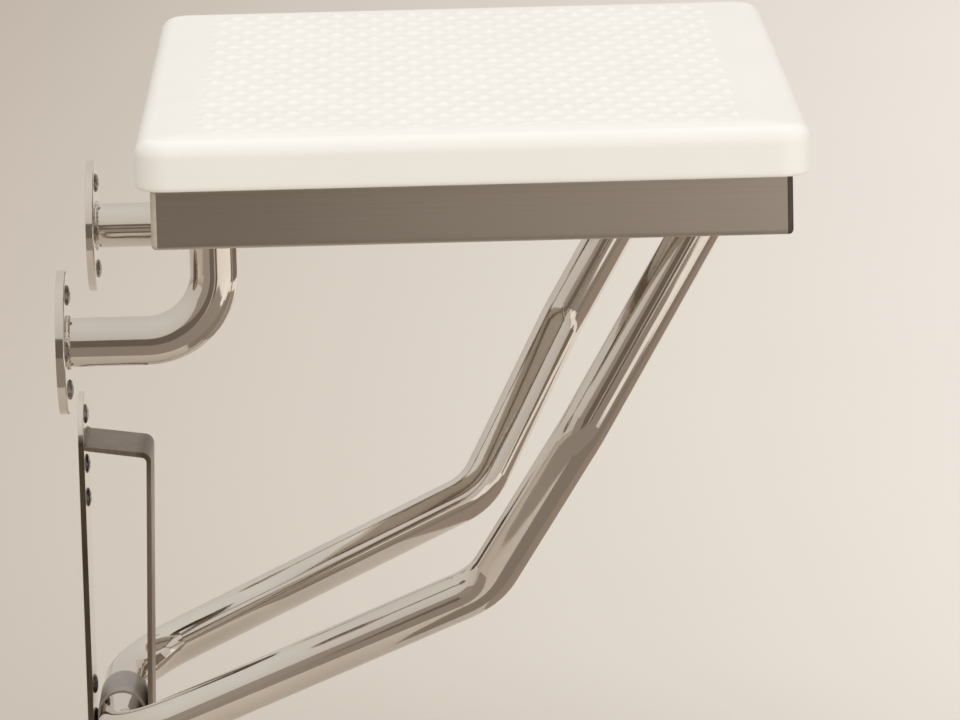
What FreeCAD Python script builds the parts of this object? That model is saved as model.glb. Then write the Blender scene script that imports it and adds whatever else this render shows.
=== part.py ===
import FreeCAD, Part
import math
import os
import re
import Sketcher

# Fold-down wall seat. The wall is the plane X = 0, +X points out of the wall, +Z is up and
# the origin is the centre of the guide plate's wall face. Left is +Y, seen by a sitting person.

SIZES = (
    # Tube stock
    ("tube_diameter", 25.4, "brackets and leg, outside"),
    ("tube_wall", 1.6, "brackets and leg"),
    ("rail_size", 31.75, "square side rails, outside"),
    ("rail_wall", 1.6, "square side rails"),
    ("rail_corner", 3.0, "outside corner radius of the side rails"),
    ("cross_size", 15.9, "square cross rails, outside"),
    ("cross_wall", 1.5, "square cross rails"),
    # Seat
    ("seat_width", 457.0, "along the wall"),
    ("seat_depth", 346.0, "out of the wall"),
    ("seat_top", 290.0, "top of the pad above the guide plate's centre"),
    ("wall_gap", 43.9, "wall to the pad's rear edge"),
    ("pad_thickness", 28.8, "at its rim"),
    ("pad_corner", 17.0, "plan corner radius"),
    ("pad_top_edge", 9.0, "radius of the top edge"),
    ("pad_bottom_edge", 2.5, "radius of the bottom edge"),
    ("base_thickness", 12.0, "board moulded into the pad"),
    ("base_margin", 14.0, "pad rim in front of and behind the board"),
    ("base_side_gap", 3.0, "board to the heads of the leg's bolts"),
    ("recess_corner", 6.0, "plan corner radius of the pad's recess"),
    ("rim_lap", 3.5, "pad rim inside the side rails' inner faces"),
    ("rail_inset", 11.25, "pad edge to the side rail's outer face"),
    ("rail_rear_inset", 7.6, "pad's rear edge to the rail's end"),
    ("rail_front_inset", 9.5, "pad's front edge to the rail's end"),
    ("plug_flange", 3.0, "rail end plug, outside the rail"),
    ("plug_edge", 2.4, "radius of the plug's outer edges"),
    ("plug_depth", 12.0, "rail end plug, inside the rail"),
    ("plug_clearance", 0.1, "plug to the tube it closes"),
    ("front_cross_gap", 0.7, "leg end's sweep to the front cross rail"),
    ("rear_cross_reach", 62.0, "seat pivot to the rear cross rail's centre"),
    ("pad_screw_spacing", 200.0, "between the two screws of one cross rail"),
    ("pad_screw_radius", 2.5, "shank"),
    ("pad_screw_grip", 8.0, "depth in the board"),
    # Wall brackets
    ("bracket_height", 174.0, "horizontal run above the guide plate's centre"),
    ("bracket_bend", 36.0, "centreline radius"),
    ("bracket_rail_gap", 1.3, "bracket tube to the rail's inner face"),
    ("pivot_reach", 82.0, "wall to the seat pivot"),
    ("pivot_end", 7.2, "tube past the pivot's centre"),
    ("flange_diameter", 75.0, "wall flange"),
    ("flange_thickness", 4.8, "wall flange"),
    ("flange_edge", 1.0, "radius of the flange's front edge"),
    ("flange_screw_circle", 50.0, "pitch circle of the flange screws"),
    ("flange_screw_count", 4, "screws in one flange"),
    ("weld_fit", 0.05, "flange bore to the tube"),
    # Pivots
    ("bolt_radius", 4.0, "pivot bolts"),
    ("bolt_head_radius", 7.0, "pivot bolts"),
    ("bolt_head_height", 4.0, "pivot bolts"),
    ("bolt_head_crown", 2.0, "bevel round the bolt heads"),
    ("socket_across", 4.8, "hexagon socket of the bolts, across its flats"),
    ("socket_depth", 2.4, "hexagon socket of the bolts"),
    ("running_fit", 0.05, "radial, in bushings and nuts"),
    ("bushing_radius", 5.5, "outside of the bushings"),
    ("bushing_flange_radius", 9.0, "seat pivot bushings"),
    ("bushing_flange", 1.0, "thickness of the bushing's flange"),
    ("side_play", 0.3, "between faces that turn on each other"),
    ("washer_radius", 9.0, "seat pivot washers"),
    ("washer_thickness", 1.0, "seat pivot washers"),
    ("nut_across", 13.0, "across the flats"),
    ("nut_height", 6.5, "weld nuts in the side rails"),
    ("boss_radius", 8.5, "leg pivot bosses"),
    ("cap_thickness", 1.5, "tube end caps, outside the tube"),
    ("cap_edge", 1.3, "radius of the cap's rim"),
    ("cap_depth", 1.5, "tube end caps, inside the tube"),
    # Leg
    ("leg_pivot_setback", 36.7, "leg pivot behind the rails' front end"),
    ("leg_pivot_drop", 4.0, "leg pivot below the rails' middle"),
    ("leg_top_gap", 14.8, "leg tube to the rail's inner face, at the leg's top"),
    ("kink_x", 271.5, "upper bend"),
    ("kink_z", 117.0, "upper bend"),
    ("knee_x", 219.5, "lower bend"),
    ("knee_z", 24.5, "lower bend"),
    ("knee_half", 115.0, "lower bend to the middle plane"),
    ("crossbar_end_gap", 47.0, "crossbar above the guide plate's lower end"),
    ("crossbar_half", 87.0, "corner of the crossbar to the middle plane"),
    ("leg_bend", 38.0, "centreline radius of every bend"),
    # Wall guide
    ("guide_width", 51.0, "plate and strap"),
    ("guide_length", 224.0, "plate"),
    ("plate_thickness", 3.2, "plate"),
    ("strap_thickness", 2.7, "strap"),
    ("strap_end_gap", 25.0, "plate's upper end to the upper face of the top arm"),
    ("strap_top_drop", 5.0, "fall of the top arm over its length"),
    ("strap_lean", 4.4, "how much further out the strap stands at its top"),
    ("strap_bend", 5.5, "outside radius of the strap's bends"),
    ("sleeve_wall", 0.7, "plastic sleeve on the crossbar"),
    ("sleeve_length", 44.0, "plastic sleeve on the crossbar"),
    ("guide_clearance", 0.3, "round the sleeve in the guide"),
    ("guide_screw_end_gap", 12.0, "outer guide screws to the plate's ends"),
    ("guide_screw_arm_gap", 15.0, "next guide screws below the upper face of the top arm"),
    ("guide_screw_pitch", 19.0, "next guide screws to the inner ones"),
    # Wall screws
    ("screw_radius", 2.6, "shank"),
    ("screw_hole_radius", 3.1, "holes in the flanges and the guide plate"),
    ("screw_head_radius", 5.4, "dome head"),
    ("screw_head_height", 1.9, "dome head"),
    ("screw_setback", 0.2, "shank's end inside the wall face"),
)

doc = FreeCAD.newDocument("FoldDownWallSeat")
sheet = doc.addObject("Spreadsheet::Sheet", "Sizes")
size = {}
for row, (alias, number, note) in enumerate(SIZES, start=1):
    sheet.set("A%d" % row, alias)
    sheet.set("B%d" % row, str(number))
    sheet.set("C%d" % row, note)
    sheet.setAlias("B%d" % row, alias)
    size[alias] = number

# Sizes that follow from the driving ones
DERIVED = (
    ("tube_radius", "tube_diameter / 2"),
    ("tube_bore", "tube_radius - tube_wall"),
    ("rail_top", "seat_top - pad_thickness"),
    ("rail_middle", "rail_top - rail_size / 2"),
    ("rail_outer", "seat_width / 2 - rail_inset"),
    ("rail_inner", "rail_outer - rail_size"),
    ("rail_centre", "rail_outer - rail_size / 2"),
    ("rail_rear", "wall_gap + rail_rear_inset"),
    ("rail_front", "wall_gap + seat_depth - rail_front_inset"),
    ("bracket_half", "rail_inner - bracket_rail_gap - tube_radius"),
    ("leg_top_half", "rail_inner - leg_top_gap - tube_radius"),
    ("leg_pivot_x", "rail_front - leg_pivot_setback"),
    ("leg_pivot_z", "rail_middle - leg_pivot_drop"),
    ("leg_end_reach", "sqrt(tube_radius ^ 2 + (pivot_end + cap_thickness) ^ 2)"),
    ("front_cross_x", "leg_pivot_x + leg_end_reach + front_cross_gap + cross_size / 2"),
    ("rear_cross_x", "pivot_reach + rear_cross_reach"),
    ("cross_middle", "rail_top - cross_size / 2"),
    ("base_half", "leg_top_half - tube_radius - bolt_head_height - base_side_gap"),
    ("recess_half", "rail_inner - rim_lap"),
    ("sleeve_bore", "tube_radius + running_fit"),
    ("sleeve_radius", "sleeve_bore + sleeve_wall"),
    ("crossbar_x", "plate_thickness + screw_head_height + guide_clearance + sleeve_radius"),
    ("crossbar_drop", "guide_length / 2 - crossbar_end_gap"),
    ("strap_inner_x", "crossbar_x + sleeve_radius + guide_clearance"),
    ("strap_floor", "-crossbar_drop - sleeve_radius - guide_clearance"),
    ("strap_top_root", "guide_length / 2 - strap_end_gap"),
    ("guide_screw_outer", "guide_length / 2 - guide_screw_end_gap"),
    ("guide_screw_middle", "strap_top_root - guide_screw_arm_gap"),
    ("guide_screw_inner", "guide_screw_middle - guide_screw_pitch"),
)
for row, (alias, formula) in enumerate(DERIVED, start=len(SIZES) + 1):
    sheet.set("A%d" % row, alias)
    sheet.set("B%d" % row, "=" + formula)
    sheet.setAlias("B%d" % row, alias)
doc.recompute()
for alias, formula in DERIVED:
    size[alias] = float(getattr(sheet, alias))


def cell(formula):
    """Point each word of a formula that names a size, not a function, at its cell."""
    return re.sub(r"\b[a-z][a-z_]+\b(?!\()", lambda word: "Sizes." + word.group(), formula)


def bind(item, field, formula):
    item.setExpression(field, cell(formula))


def add_body(label, place=None):
    body = doc.addObject("PartDesign::Body", label)
    body.Label = label
    for axis, formula in (place or {}).items():
        bind(body, "Placement.Base." + axis, formula)
    return body


def origin_part(body, role):
    return [part for part in body.Origin.OriginFeatures if part.Role == role][0]


def add_sketch(body, role, offset=None):
    sketch = body.newObject("Sketcher::SketchObject", "Sketch")
    sketch.AttachmentSupport = (origin_part(body, role), [""])
    sketch.MapMode = "FlatFace"
    if offset:
        bind(sketch, "AttachmentOffset.Base.z", offset)
    return sketch


def bind_last(sketch, formula):
    bind(sketch, "Constraints[%d]" % (sketch.ConstraintCount - 1), formula)


def set_point(sketch, geometry, end, across, along):
    """Dimension a point from the sketch's origin."""
    for kind, formula in (("DistanceX", across), ("DistanceY", along)):
        sketch.addConstraint(Sketcher.Constraint(kind, -1, 1, geometry, end, 1.0))
        bind_last(sketch, formula)


def add_circle(sketch, across, along, radius):
    circle = sketch.addGeometry(Part.Circle(FreeCAD.Vector(1, 1, 0), FreeCAD.Vector(0, 0, 1), 1.0))
    set_point(sketch, circle, 3, across, along)
    sketch.addConstraint(Sketcher.Constraint("Radius", circle, 1.0))
    bind_last(sketch, radius)


def add_outline(sketch, points):
    """Closed straight-sided outline through dimensioned points."""
    count = len(points)
    turn = [2 * math.pi * index / count for index in range(count + 1)]
    spots = [FreeCAD.Vector(math.cos(angle), math.sin(angle), 0) for angle in turn]
    lines = [sketch.addGeometry(Part.LineSegment(spots[i], spots[i + 1])) for i in range(count)]
    for index, line in enumerate(lines):
        following = lines[(index + 1) % count]
        sketch.addConstraint(Sketcher.Constraint("Coincident", line, 2, following, 1))
        set_point(sketch, line, 1, *points[index])


def add_rectangle(sketch, half_across, half_along, across="0", along="0"):
    left = across + " - ( " + half_across + " )"
    right = across + " + ( " + half_across + " )"
    low = along + " - ( " + half_along + " )"
    high = along + " + ( " + half_along + " )"
    add_outline(sketch, ((left, low), (right, low), (right, high), (left, high)))


def pad(body, sketch, length, middle=False, back=False):
    feature = body.newObject("PartDesign::Pad", "Pad")
    feature.Profile = sketch
    bind(feature, "Length", length)
    feature.Midplane = middle
    feature.Reversed = back
    return feature


def pocket(body, sketch, length=None, middle=False, back=False):
    """Cut a sketch out of a body and check that material went away."""
    doc.recompute()
    before = body.Shape.Volume
    feature = body.newObject("PartDesign::Pocket", "Pocket")
    feature.Profile = sketch
    feature.Midplane = middle
    feature.Reversed = back
    if length:
        bind(feature, "Length", length)
    else:
        feature.Type = "ThroughAll"
    doc.recompute()
    if body.Shape.Volume > before - 1e-6:
        raise ValueError("pocket cuts nothing in " + body.Label)
    return feature


def revolve(body, sketch, axis_role):
    feature = body.newObject("PartDesign::Revolution", "Revolution")
    feature.Profile = sketch
    feature.ReferenceAxis = (origin_part(body, axis_role), [""])
    feature.Angle = 360.0
    return feature


def edges_where(shape, test):
    return ["Edge%d" % (i + 1) for i, edge in enumerate(shape.Edges) if test(edge)]


def fillet(body, test, radius):
    doc.recompute()
    base = body.Tip
    feature = body.newObject("PartDesign::Fillet", "Fillet")
    feature.Base = (base, edges_where(base.Shape, test))
    bind(feature, "Radius", radius)
    doc.recompute()
    return feature


def parallel_to(axis):
    """Test for straight edges along one axis."""
    def test(edge):
        if edge.Curve.TypeId != "Part::GeomLine":
            return False
        return abs(edge.Curve.Direction.dot(axis)) > 0.999
    return test


def lies_at(field, number):
    """Test for edges that lie in one plane square to an axis."""
    def test(edge):
        box = edge.BoundBox
        return abs(getattr(box, field + "Min") - number) < 1e-4 and \
            abs(getattr(box, field + "Max") - number) < 1e-4
    return test


def copies(label, shape, places):
    """One node that holds the same piece at several places."""
    group = doc.addObject("Part::Feature", label)
    group.Label = label
    solids = []
    for place in places:
        solid = shape.copy()
        solid.Placement = place.multiply(shape.Placement)
        solids.append(solid)
    group.Shape = Part.makeCompound(solids)
    return group


def placed(x, y, z, turn=None):
    return FreeCAD.Placement(FreeCAD.Vector(x, y, z), turn or FreeCAD.Rotation())


X_AXIS = FreeCAD.Vector(1, 0, 0)
Y_AXIS = FreeCAD.Vector(0, 1, 0)
Z_AXIS = FreeCAD.Vector(0, 0, 1)
SIDES = (("left", 1), ("right", -1))
TURN_LEFT = FreeCAD.Rotation(Z_AXIS, 90)
TURN_RIGHT = FreeCAD.Rotation(Z_AXIS, -90)


def side_turn(sign):
    """Turn a piece made along +X so that it points to its own side."""
    return TURN_LEFT if sign > 0 else TURN_RIGHT


# Wall brackets

def make_flange(side, sign):
    label = "mounting_flange_" + side
    body = add_body(label, {"y": "%d * bracket_half" % sign, "z": "bracket_height"})
    disc = add_sketch(body, "YZ_Plane")
    add_circle(disc, "0", "0", "flange_diameter / 2")
    add_circle(disc, "0", "0", "tube_radius + weld_fit")
    pad(body, disc, "flange_thickness")
    thickness = size["flange_thickness"]
    rim = size["flange_diameter"] / 2

    def front_rim(edge):
        return lies_at("X", thickness)(edge) and abs(edge.Curve.Radius - rim) < 1e-6
    fillet(body, front_rim, "flange_edge")
    hole = add_sketch(body, "YZ_Plane")
    add_circle(hole, "0", "flange_screw_circle / 2", "screw_hole_radius")
    cut = pocket(body, hole, back=True)
    ring = body.newObject("PartDesign::PolarPattern", "ScrewHoles")
    ring.Originals = [cut]
    ring.Axis = (origin_part(body, "X_Axis"), [""])
    ring.Angle = 360.0
    bind(ring, "Occurrences", "flange_screw_count")
    body.Tip = ring
    return body


def make_bracket_tube(side, sign):
    label = "bracket_tube_" + side
    body = add_body(label, {"y": "%d * bracket_half" % sign, "z": "bracket_height"})
    route = add_sketch(body, "XZ_Plane")
    reach, radius = size["pivot_reach"], size["bracket_bend"]
    top = size["rail_middle"] - size["bracket_height"] + size["pivot_end"]
    run = route.addGeometry(Part.LineSegment(
        FreeCAD.Vector(0, 0, 0), FreeCAD.Vector(reach - radius, 0, 0)))
    arc = route.addGeometry(Part.ArcOfCircle(
        Part.Circle(FreeCAD.Vector(reach - radius, radius, 0), Z_AXIS, radius), -math.pi / 2, 0))
    rise = route.addGeometry(Part.LineSegment(
        FreeCAD.Vector(reach, radius, 0), FreeCAD.Vector(reach, top, 0)))
    route.addConstraint(Sketcher.Constraint("Coincident", run, 1, -1, 1))
    route.addConstraint(Sketcher.Constraint("Horizontal", run))
    route.addConstraint(Sketcher.Constraint("Tangent", run, 2, arc, 1))
    route.addConstraint(Sketcher.Constraint("Tangent", arc, 2, rise, 1))
    route.addConstraint(Sketcher.Constraint("Vertical", rise))
    route.addConstraint(Sketcher.Constraint("Radius", arc, radius))
    bind_last(route, "bracket_bend")
    set_point(route, rise, 2, "pivot_reach", "rail_middle - bracket_height + pivot_end")
    ring = add_sketch(body, "YZ_Plane")
    add_circle(ring, "0", "0", "tube_radius")
    add_circle(ring, "0", "0", "tube_bore")
    tube = body.newObject("PartDesign::AdditivePipe", "Tube")
    tube.Profile = ring
    tube.Spine = (route, [])
    hole = add_sketch(body, "XZ_Plane")
    add_circle(hole, "pivot_reach", "rail_middle - bracket_height", "bushing_radius")
    pocket(body, hole, "4 * tube_radius", middle=True)
    return body


def make_end_cap():
    """Domed cap about the Z axis, with its stem below and the tube's end at Z = 0."""
    body = add_body("end_cap_form")
    profile = add_sketch(body, "XZ_Plane")
    add_outline(profile, (
        ("0", "-cap_depth"),
        ("tube_bore - plug_clearance", "-cap_depth"),
        ("tube_bore - plug_clearance", "0"),
        ("tube_radius", "0"),
        ("tube_radius", "cap_thickness"),
        ("0", "cap_thickness"),
    ))
    revolve(body, profile, "Z_Axis")
    fillet(body, lies_at("Z", size["cap_thickness"]), "cap_edge")
    return body


# Dome head's outline from its crown to its rim, as shares of the head's height and radius
DOME = ((1.0, 0.0), (1.0, 0.35), (0.75, 0.72), (0.35, 0.93), (0.0, 1.0))


def make_screw(label, shank, shank_radius):
    """Dome-headed screw along X: the head's seat is at X = 0 and the shank runs to -X."""
    body = add_body(label)
    profile = add_sketch(body, "XZ_Plane")
    dome = [("%g * screw_head_height" % rise, "%g * screw_head_radius" % out) for rise, out in DOME]
    shank_end = "-( %s )" % shank
    add_outline(profile, [(shank_end, "0")] + dome + [("0", shank_radius), (shank_end, shank_radius)])
    revolve(body, profile, "X_Axis")
    return body


def make_bracket_fittings():
    half = size["bracket_half"]
    pivot = (size["pivot_reach"], size["rail_middle"])
    cap = make_end_cap()
    doc.recompute()
    top = pivot[1] + size["pivot_end"]
    copies("bracket_end_caps", cap.Shape, [placed(pivot[0], sign * half, top) for _, sign in SIDES])
    shank = "flange_thickness - screw_setback"
    screw = make_screw("flange_screw_form", shank, "screw_radius")
    doc.recompute()
    places = []
    for _, sign in SIDES:
        for index in range(size["flange_screw_count"]):
            angle = 2 * math.pi * index / size["flange_screw_count"]
            reach = size["flange_screw_circle"] / 2
            across = sign * half + reach * math.sin(angle)
            height = size["bracket_height"] + reach * math.cos(angle)
            places.append(placed(size["flange_thickness"], across, height))
    copies("flange_screws", screw.Shape, places)
    return [cap, screw]


def make_ring(label, start, length, outer, inner):
    """Plain ring along X, from start to start + length."""
    body = add_body(label)
    ring = add_sketch(body, "YZ_Plane", start)
    add_circle(ring, "0", "0", outer)
    if inner:
        add_circle(ring, "0", "0", inner)
    pad(body, ring, length)
    return body


def make_pivot_bushings():
    """Flanged bushing through the bracket tube, made along X from the tube's middle."""
    body = add_body("pivot_bushing_form")
    profile = add_sketch(body, "XZ_Plane")
    add_outline(profile, (
        ("-tube_radius", "bolt_radius + running_fit"),
        ("tube_radius + bushing_flange", "bolt_radius + running_fit"),
        ("tube_radius + bushing_flange", "bushing_flange_radius"),
        ("tube_radius", "bushing_flange_radius"),
        ("tube_radius", "bushing_radius"),
        ("-tube_radius", "bushing_radius"),
    ))
    revolve(body, profile, "X_Axis")
    doc.recompute()
    places = pivot_places(size["pivot_reach"], size["bracket_half"], size["rail_middle"])
    copies("pivot_bushings", body.Shape, places)
    return body


# Wall guide

def make_guide_plate():
    body = add_body("guide_plate")
    outline = add_sketch(body, "YZ_Plane")
    half = size["guide_width"] / 2
    end = size["guide_length"] / 2 - half
    top = outline.addGeometry(Part.ArcOfCircle(
        Part.Circle(FreeCAD.Vector(0, end, 0), Z_AXIS, half), 0, math.pi))
    left = outline.addGeometry(Part.LineSegment(
        FreeCAD.Vector(-half, end, 0), FreeCAD.Vector(-half, -end, 0)))
    low = outline.addGeometry(Part.ArcOfCircle(
        Part.Circle(FreeCAD.Vector(0, -end, 0), Z_AXIS, half), math.pi, 2 * math.pi))
    right = outline.addGeometry(Part.LineSegment(
        FreeCAD.Vector(half, -end, 0), FreeCAD.Vector(half, end, 0)))
    for first, second in ((top, left), (left, low), (low, right), (right, top)):
        outline.addConstraint(Sketcher.Constraint("Tangent", first, 2, second, 1))
    for arc, sign in ((top, 1), (low, -1)):
        set_point(outline, arc, 3, "0", "%d * ( guide_length - guide_width ) / 2" % sign)
        outline.addConstraint(Sketcher.Constraint("Radius", arc, half))
        bind_last(outline, "guide_width / 2")
    for name in ("guide_screw_outer", "guide_screw_middle", "guide_screw_inner"):
        for sign in (1, -1):
            add_circle(outline, "0", "%d * %s" % (sign, name), "screw_hole_radius")
    pad(body, outline, "plate_thickness")
    return body


def make_guide_strap():
    """Bent flat bar: a sloping top arm, a leaning outer leg and a level bottom arm."""
    body = add_body("guide_strap")
    profile = add_sketch(body, "XZ_Plane")
    inner_top = "strap_inner_x + strap_lean"
    add_outline(profile, (
        ("plate_thickness", "strap_floor - strap_thickness"),
        ("strap_inner_x + strap_thickness", "strap_floor - strap_thickness"),
        (inner_top + " + strap_thickness", "strap_top_root - strap_top_drop"),
        ("plate_thickness", "strap_top_root"),
        ("plate_thickness", "strap_top_root - strap_thickness"),
        (inner_top, "strap_top_root - strap_top_drop - strap_thickness"),
        ("strap_inner_x", "strap_floor"),
        ("plate_thickness", "strap_floor"),
    ))
    pad(body, profile, "guide_width", middle=True)
    outer = size["strap_inner_x"] + size["strap_thickness"]
    floor = size["strap_floor"]
    lean = size["strap_lean"]
    arm_end = size["strap_top_root"] - size["strap_top_drop"]

    def at_corner(x, z):
        def test(edge):
            centre = edge.BoundBox.Center
            return parallel_to(Y_AXIS)(edge) and abs(centre.x - x) < 1e-3 and abs(centre.z - z) < 1e-3
        return test

    def outer_bend(edge):
        return at_corner(outer, floor - size["strap_thickness"])(edge) or \
            at_corner(outer + lean, arm_end)(edge)

    def inner_bend(edge):
        return at_corner(outer - size["strap_thickness"], floor)(edge) or \
            at_corner(outer - size["strap_thickness"] + lean, arm_end - size["strap_thickness"])(edge)
    fillet(body, outer_bend, "strap_bend")
    fillet(body, inner_bend, "strap_bend - strap_thickness")
    return body


def make_guide_screws():
    shank = "plate_thickness - screw_setback"
    screw = make_screw("guide_screw_form", shank, "screw_radius")
    doc.recompute()
    places = []
    for name in ("guide_screw_outer", "guide_screw_middle", "guide_screw_inner"):
        for sign in (1, -1):
            places.append(placed(size["plate_thickness"], 0, sign * size[name]))
    copies("guide_screws", screw.Shape, places)
    return screw


def make_guide_sleeve():
    body = add_body("guide_sleeve", {"x": "crossbar_x", "z": "-crossbar_drop"})
    ring = add_sketch(body, "XZ_Plane")
    add_circle(ring, "0", "0", "sleeve_radius")
    add_circle(ring, "0", "0", "sleeve_bore")
    pad(body, ring, "sleeve_length", middle=True)
    return body


# Seat

def make_seat_pad():
    body = add_body("seat_pad", {"x": "wall_gap + seat_depth / 2", "z": "rail_top"})
    plan = add_sketch(body, "XY_Plane")
    add_rectangle(plan, "seat_depth / 2", "seat_width / 2")
    pad(body, plan, "pad_thickness")
    fillet(body, parallel_to(Z_AXIS), "pad_corner")
    fillet(body, lies_at("Z", size["pad_thickness"]), "pad_top_edge")
    fillet(body, lies_at("Z", 0), "pad_bottom_edge")
    recess = add_sketch(body, "XY_Plane")
    add_rectangle(recess, "seat_depth / 2 - base_margin", "recess_half")
    pocket(body, recess, "base_thickness", back=True)

    def at_recess_corner(edge):
        reach = size["recess_half"]
        return parallel_to(Z_AXIS)(edge) and abs(abs(edge.BoundBox.Center.y) - reach) < 1e-3
    fillet(body, at_recess_corner, "recess_corner")
    return body


def pad_screw_spots():
    spots = []
    for name in ("front_cross_x", "rear_cross_x"):
        for sign in (1, -1):
            spots.append((name, sign))
    return spots


def make_seat_base():
    body = add_body("seat_base", {"x": "wall_gap + seat_depth / 2", "z": "rail_top"})
    plan = add_sketch(body, "XY_Plane")
    add_rectangle(plan, "seat_depth / 2 - base_margin", "base_half")
    pad(body, plan, "base_thickness")
    holes = add_sketch(body, "XY_Plane")
    for name, sign in pad_screw_spots():
        across = name + " - wall_gap - seat_depth / 2"
        add_circle(holes, across, "%d * pad_screw_spacing / 2" % sign, "pad_screw_radius + running_fit")
    pocket(body, holes, "pad_screw_grip + plug_clearance", back=True)
    return body


def make_side_rail(side, sign):
    """Square tube with one hole in its inner wall for each pivot."""
    place = {"x": "rail_rear + plug_flange", "y": "%d * rail_centre" % sign, "z": "rail_middle"}
    body = add_body("side_rail_" + side, place)
    section = add_sketch(body, "YZ_Plane")
    add_rectangle(section, "rail_size / 2", "rail_size / 2")
    pad(body, section, "rail_front - rail_rear - 2 * plug_flange")
    fillet(body, parallel_to(X_AXIS), "rail_corner")
    bore = add_sketch(body, "YZ_Plane")
    add_rectangle(bore, "rail_size / 2 - rail_wall", "rail_size / 2 - rail_wall")
    pocket(body, bore, back=True)
    holes = add_sketch(body, "XZ_Plane")
    add_circle(holes, "pivot_reach - rail_rear - plug_flange", "0", "bolt_radius + plug_clearance")
    add_circle(holes, "leg_pivot_x - rail_rear - plug_flange", "-leg_pivot_drop",
               "bolt_radius + plug_clearance")
    pocket(body, holes, "rail_size", back=sign > 0)
    return body


def make_rail_plugs():
    """Plug along X: its flange is at X > 0 and its stem at X < 0."""
    body = add_body("rail_plug_form")
    face = add_sketch(body, "YZ_Plane")
    add_rectangle(face, "rail_size / 2", "rail_size / 2")
    pad(body, face, "plug_flange")
    thickness = size["plug_flange"]
    fillet(body, parallel_to(X_AXIS), "rail_corner")
    fillet(body, lies_at("X", thickness), "plug_edge")
    stem = add_sketch(body, "YZ_Plane")
    half = "rail_size / 2 - rail_wall - plug_clearance"
    add_rectangle(stem, half, half)
    pad(body, stem, "plug_depth", back=True)
    doc.recompute()
    places = []
    for _, sign in SIDES:
        across = sign * size["rail_centre"]
        front = size["rail_front"] - thickness
        rear = size["rail_rear"] + thickness
        places.append(placed(front, across, size["rail_middle"]))
        places.append(placed(rear, across, size["rail_middle"], FreeCAD.Rotation(Z_AXIS, 180)))
    copies("rail_end_plugs", body.Shape, places)
    return body


def make_cross_rail(label, centre):
    body = add_body(label, {"x": centre, "z": "cross_middle"})
    section = add_sketch(body, "XZ_Plane")
    add_rectangle(section, "cross_size / 2", "cross_size / 2")
    pad(body, section, "2 * rail_inner", middle=True)
    fillet(body, parallel_to(Y_AXIS), "cross_wall")
    bore = add_sketch(body, "XZ_Plane")
    add_rectangle(bore, "cross_size / 2 - cross_wall", "cross_size / 2 - cross_wall")
    pocket(body, bore, "3 * rail_inner", middle=True)
    holes = add_sketch(body, "XY_Plane")
    for sign in (1, -1):
        add_circle(holes, "0", "%d * pad_screw_spacing / 2" % sign, "pad_screw_radius + plug_clearance")
    pocket(body, holes, "2 * cross_size", middle=True)
    return body


def make_pad_screws():
    shank = "cross_size + pad_screw_grip"
    screw = make_screw("pad_screw_form", shank, "pad_screw_radius")
    doc.recompute()
    upside_down = FreeCAD.Rotation(Y_AXIS, 90)
    floor = size["rail_top"] - size["cross_size"]
    places = []
    for name, sign in pad_screw_spots():
        across = sign * size["pad_screw_spacing"] / 2
        places.append(placed(size[name], across, floor, upside_down))
    copies("pad_screws", screw.Shape, places)
    return screw


# Pivots on the seat

def make_bolt(label, shank):
    """Round-headed bolt along X: head at X < 0, shank from X = 0 to its length."""
    body = add_body(label)
    profile = add_sketch(body, "XZ_Plane")
    add_outline(profile, (
        ("-bolt_head_height", "0"),
        (shank, "0"),
        (shank, "bolt_radius"),
        ("0", "bolt_radius"),
        ("0", "bolt_head_radius"),
        ("bolt_head_crown - bolt_head_height", "bolt_head_radius"),
        ("-bolt_head_height", "bolt_head_radius - bolt_head_crown"),
    ))
    revolve(body, profile, "X_Axis")
    socket = add_sketch(body, "YZ_Plane", "-bolt_head_height")
    add_outline(socket, hexagon("socket_across / 2"))
    pocket(body, socket, "socket_depth", back=True)
    return body


def hexagon(half_across):
    """Corners of a hexagon, given half the distance across its flats."""
    tip = "%s / cos(30)" % half_across
    side = "%s * tan(30)" % half_across
    left = "-%s" % half_across
    return (("0", tip), (left, side), (left, "-" + side),
            ("0", "-" + tip), (half_across, "-" + side), (half_across, side))


def pivot_places(x, inboard, z):
    return [placed(x, sign * inboard, z, side_turn(sign)) for _, sign in SIDES]


def make_pivot_hardware():
    tube_inner_side = size["bracket_half"] - size["tube_radius"]
    washer_start = tube_inner_side - size["side_play"] - size["washer_thickness"]
    grip = "washer_thickness + side_play + 2 * tube_radius + bracket_rail_gap + rail_wall + nut_height"
    bolt = make_bolt("pivot_bolt_form", grip)
    washer = make_ring("pivot_washer_form", "0", "washer_thickness", "washer_radius",
                       "bolt_radius + plug_clearance")
    nut = add_body("pivot_nut_form")
    flats = add_sketch(nut, "YZ_Plane")
    add_outline(flats, hexagon("nut_across / 2"))
    add_circle(flats, "0", "0", "bolt_radius + running_fit")
    pad(nut, flats, "nut_height")
    doc.recompute()
    reach, height = size["pivot_reach"], size["rail_middle"]
    nut_start = size["rail_inner"] + size["rail_wall"]
    copies("pivot_bolts", bolt.Shape, pivot_places(reach, washer_start, height))
    copies("pivot_washers", washer.Shape, pivot_places(reach, washer_start, height))
    copies("pivot_nuts", nut.Shape, pivot_places(reach, nut_start, height))
    return [bolt, washer, nut]


def make_leg_bosses():
    """Threaded bosses welded to the rails, where the leg's bolts go."""
    length = "rail_inner - leg_top_half - tube_radius - side_play"
    boss = make_ring("leg_boss_form", "0", length, "boss_radius", "bolt_radius + running_fit")
    doc.recompute()
    start = size["leg_top_half"] + size["tube_radius"] + size["side_play"]
    copies("leg_bosses", boss.Shape, pivot_places(size["leg_pivot_x"], start, size["leg_pivot_z"]))
    return boss


# Leg

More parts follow.
